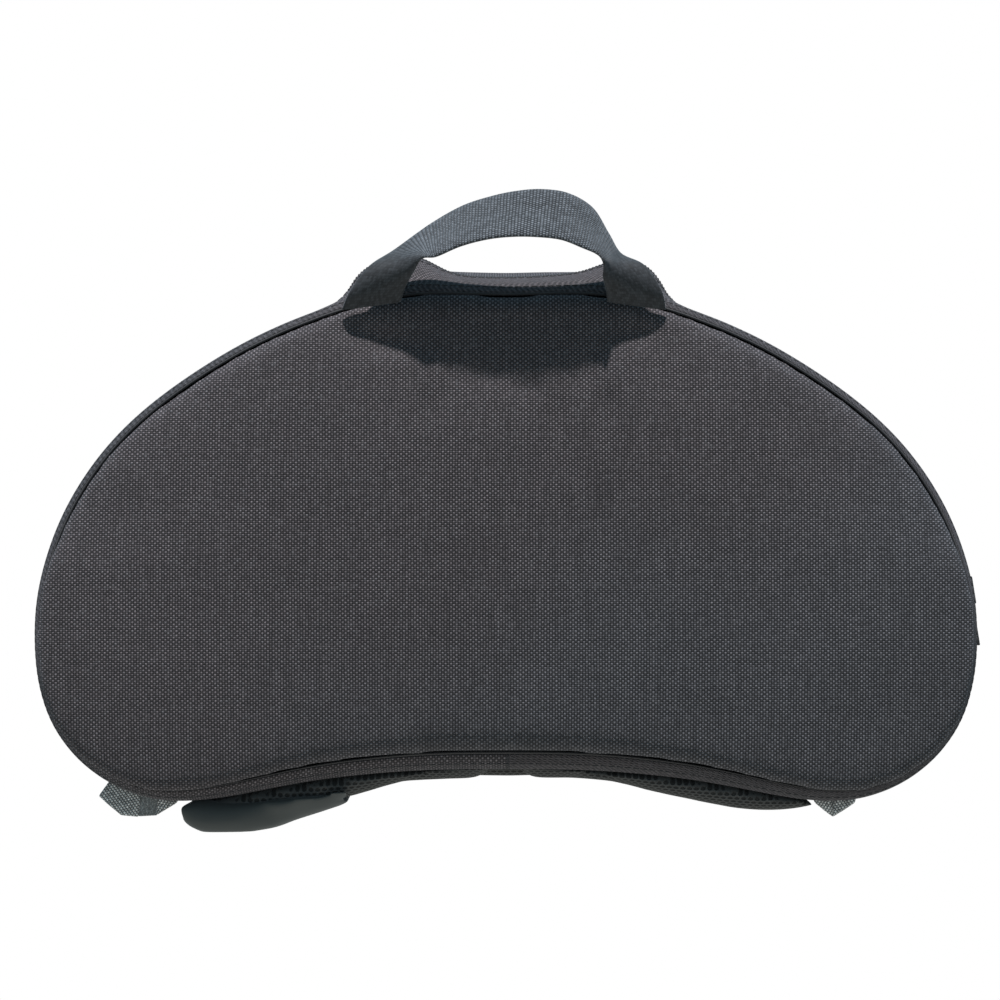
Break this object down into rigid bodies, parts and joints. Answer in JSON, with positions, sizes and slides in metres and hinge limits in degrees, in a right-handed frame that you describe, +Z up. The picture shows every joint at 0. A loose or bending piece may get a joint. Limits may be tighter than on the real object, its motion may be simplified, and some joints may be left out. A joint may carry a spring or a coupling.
{
  "type": "camera waist pack",
  "caption": "Padded kidney-shaped waist pack for a camera, with a zipped lid, a webbing carry handle over a raised front bump, lumbar pads and tucked belt wings.",
  "frame": {"origin": "under the middle of the pack's box, on the plane it rests on", "axes": "+X is the right of the picture, along the pack's width; +Z is up, towards the carry handle; the lid faces -Y and the body runs back along +Y"},
  "size_m": [0.3678, 0.2014, 0.244],
  "materials": {
    "pack_cloth": "heavy plain-weave nylon, near black",
    "zip_cloth": "black zip tape with a moulded coil",
    "webbing": "ribbed polypropylene webbing, charcoal",
    "pad_mesh": "black spacer mesh over foam",
    "belt_cloth": "smooth black stretch cloth over foam",
    "slider_plastic": "matte black"
  },
  "bodies": {
    "root": {"lid_panel": "pack_cloth", "lid_skirt": "pack_cloth", "lid_zip": "zip_cloth", "hinge_strip": "pack_cloth", "body_wall": "pack_cloth", "base_panel": "pack_cloth", "front_pocket": "pack_cloth", "handle": "webbing", "lumbar_pad_left": "pad_mesh", "lumbar_pad_right": "pad_mesh", "belt_wing_left": "belt_cloth", "belt_wing_right": "belt_cloth", "tab_left": "webbing", "tab_right": "webbing", "zip_slider": "slider_plastic", "zip_pull": "slider_plastic"}
  },
  "joints": []
}
